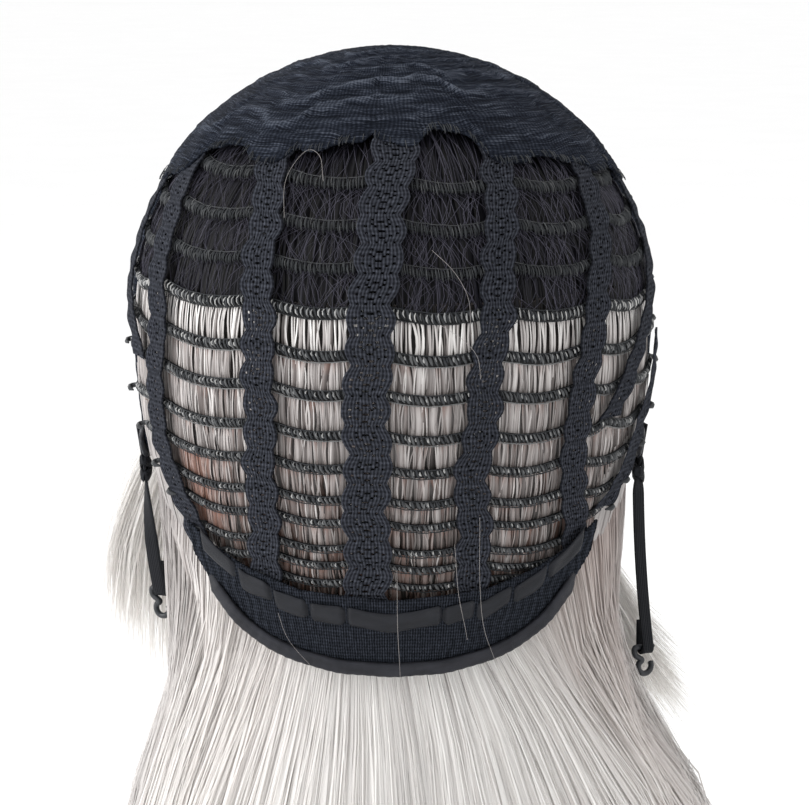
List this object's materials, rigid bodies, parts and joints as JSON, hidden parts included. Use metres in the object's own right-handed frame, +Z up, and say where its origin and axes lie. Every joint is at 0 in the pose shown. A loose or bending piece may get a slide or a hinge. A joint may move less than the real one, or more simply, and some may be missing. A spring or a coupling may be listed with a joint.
{
  "type": "wig",
  "caption": "Wig turned inside out to show its cap: net crown, lace strips and sewn hair wefts over long falling hair, with a ribboned nape band, bound edges and hook straps.",
  "frame": {"origin": "inside the net at the top of the crown, where a head carries the cap", "axes": "+Z up along the hair's fall, -Y towards the back of the head, +X towards the right as seen from behind"},
  "size_m": [0.2096, 0.1868, 0.4318],
  "materials": {
    "crown_net": "fine ribbed knit net",
    "lace": "knitted elastic lace",
    "weft_thread": "sewn hair and thread",
    "nape_band": "ribbed knit",
    "satin": "satin tape",
    "elastic": "woven elastic",
    "hook": "glossy moulded",
    "dark_hair": "synthetic hair",
    "silver_hair": "synthetic hair"
  },
  "bodies": {
    "root": {"crown_net": "crown_net", "lace_strip_1": "lace", "lace_strip_2": "lace", "lace_strip_3": "lace", "lace_strip_4": "lace", "lace_strip_5": "lace", "lace_strip_6": "lace", "lace_strip_7": "lace", "lace_strip_8": "lace", "weft_track_01": "weft_thread", "weft_track_02": "weft_thread", "weft_track_03": "weft_thread", "weft_track_04": "weft_thread", "weft_track_05": "weft_thread", "weft_track_06": "weft_thread", "weft_track_07": "weft_thread", "weft_track_08": "weft_thread", "weft_track_09": "weft_thread", "weft_track_10": "weft_thread", "weft_track_11": "weft_thread", "weft_track_12": "weft_thread", "weft_track_13": "weft_thread", "nape_band": "nape_band", "nape_ribbon": "satin", "nape_binding": "satin", "front_binding": "satin", "strap_left": "elastic", "strap_right": "elastic", "hook_left": "hook", "hook_right": "hook", "dark_hair": "dark_hair", "silver_hair": "silver_hair"}
  },
  "joints": []
}
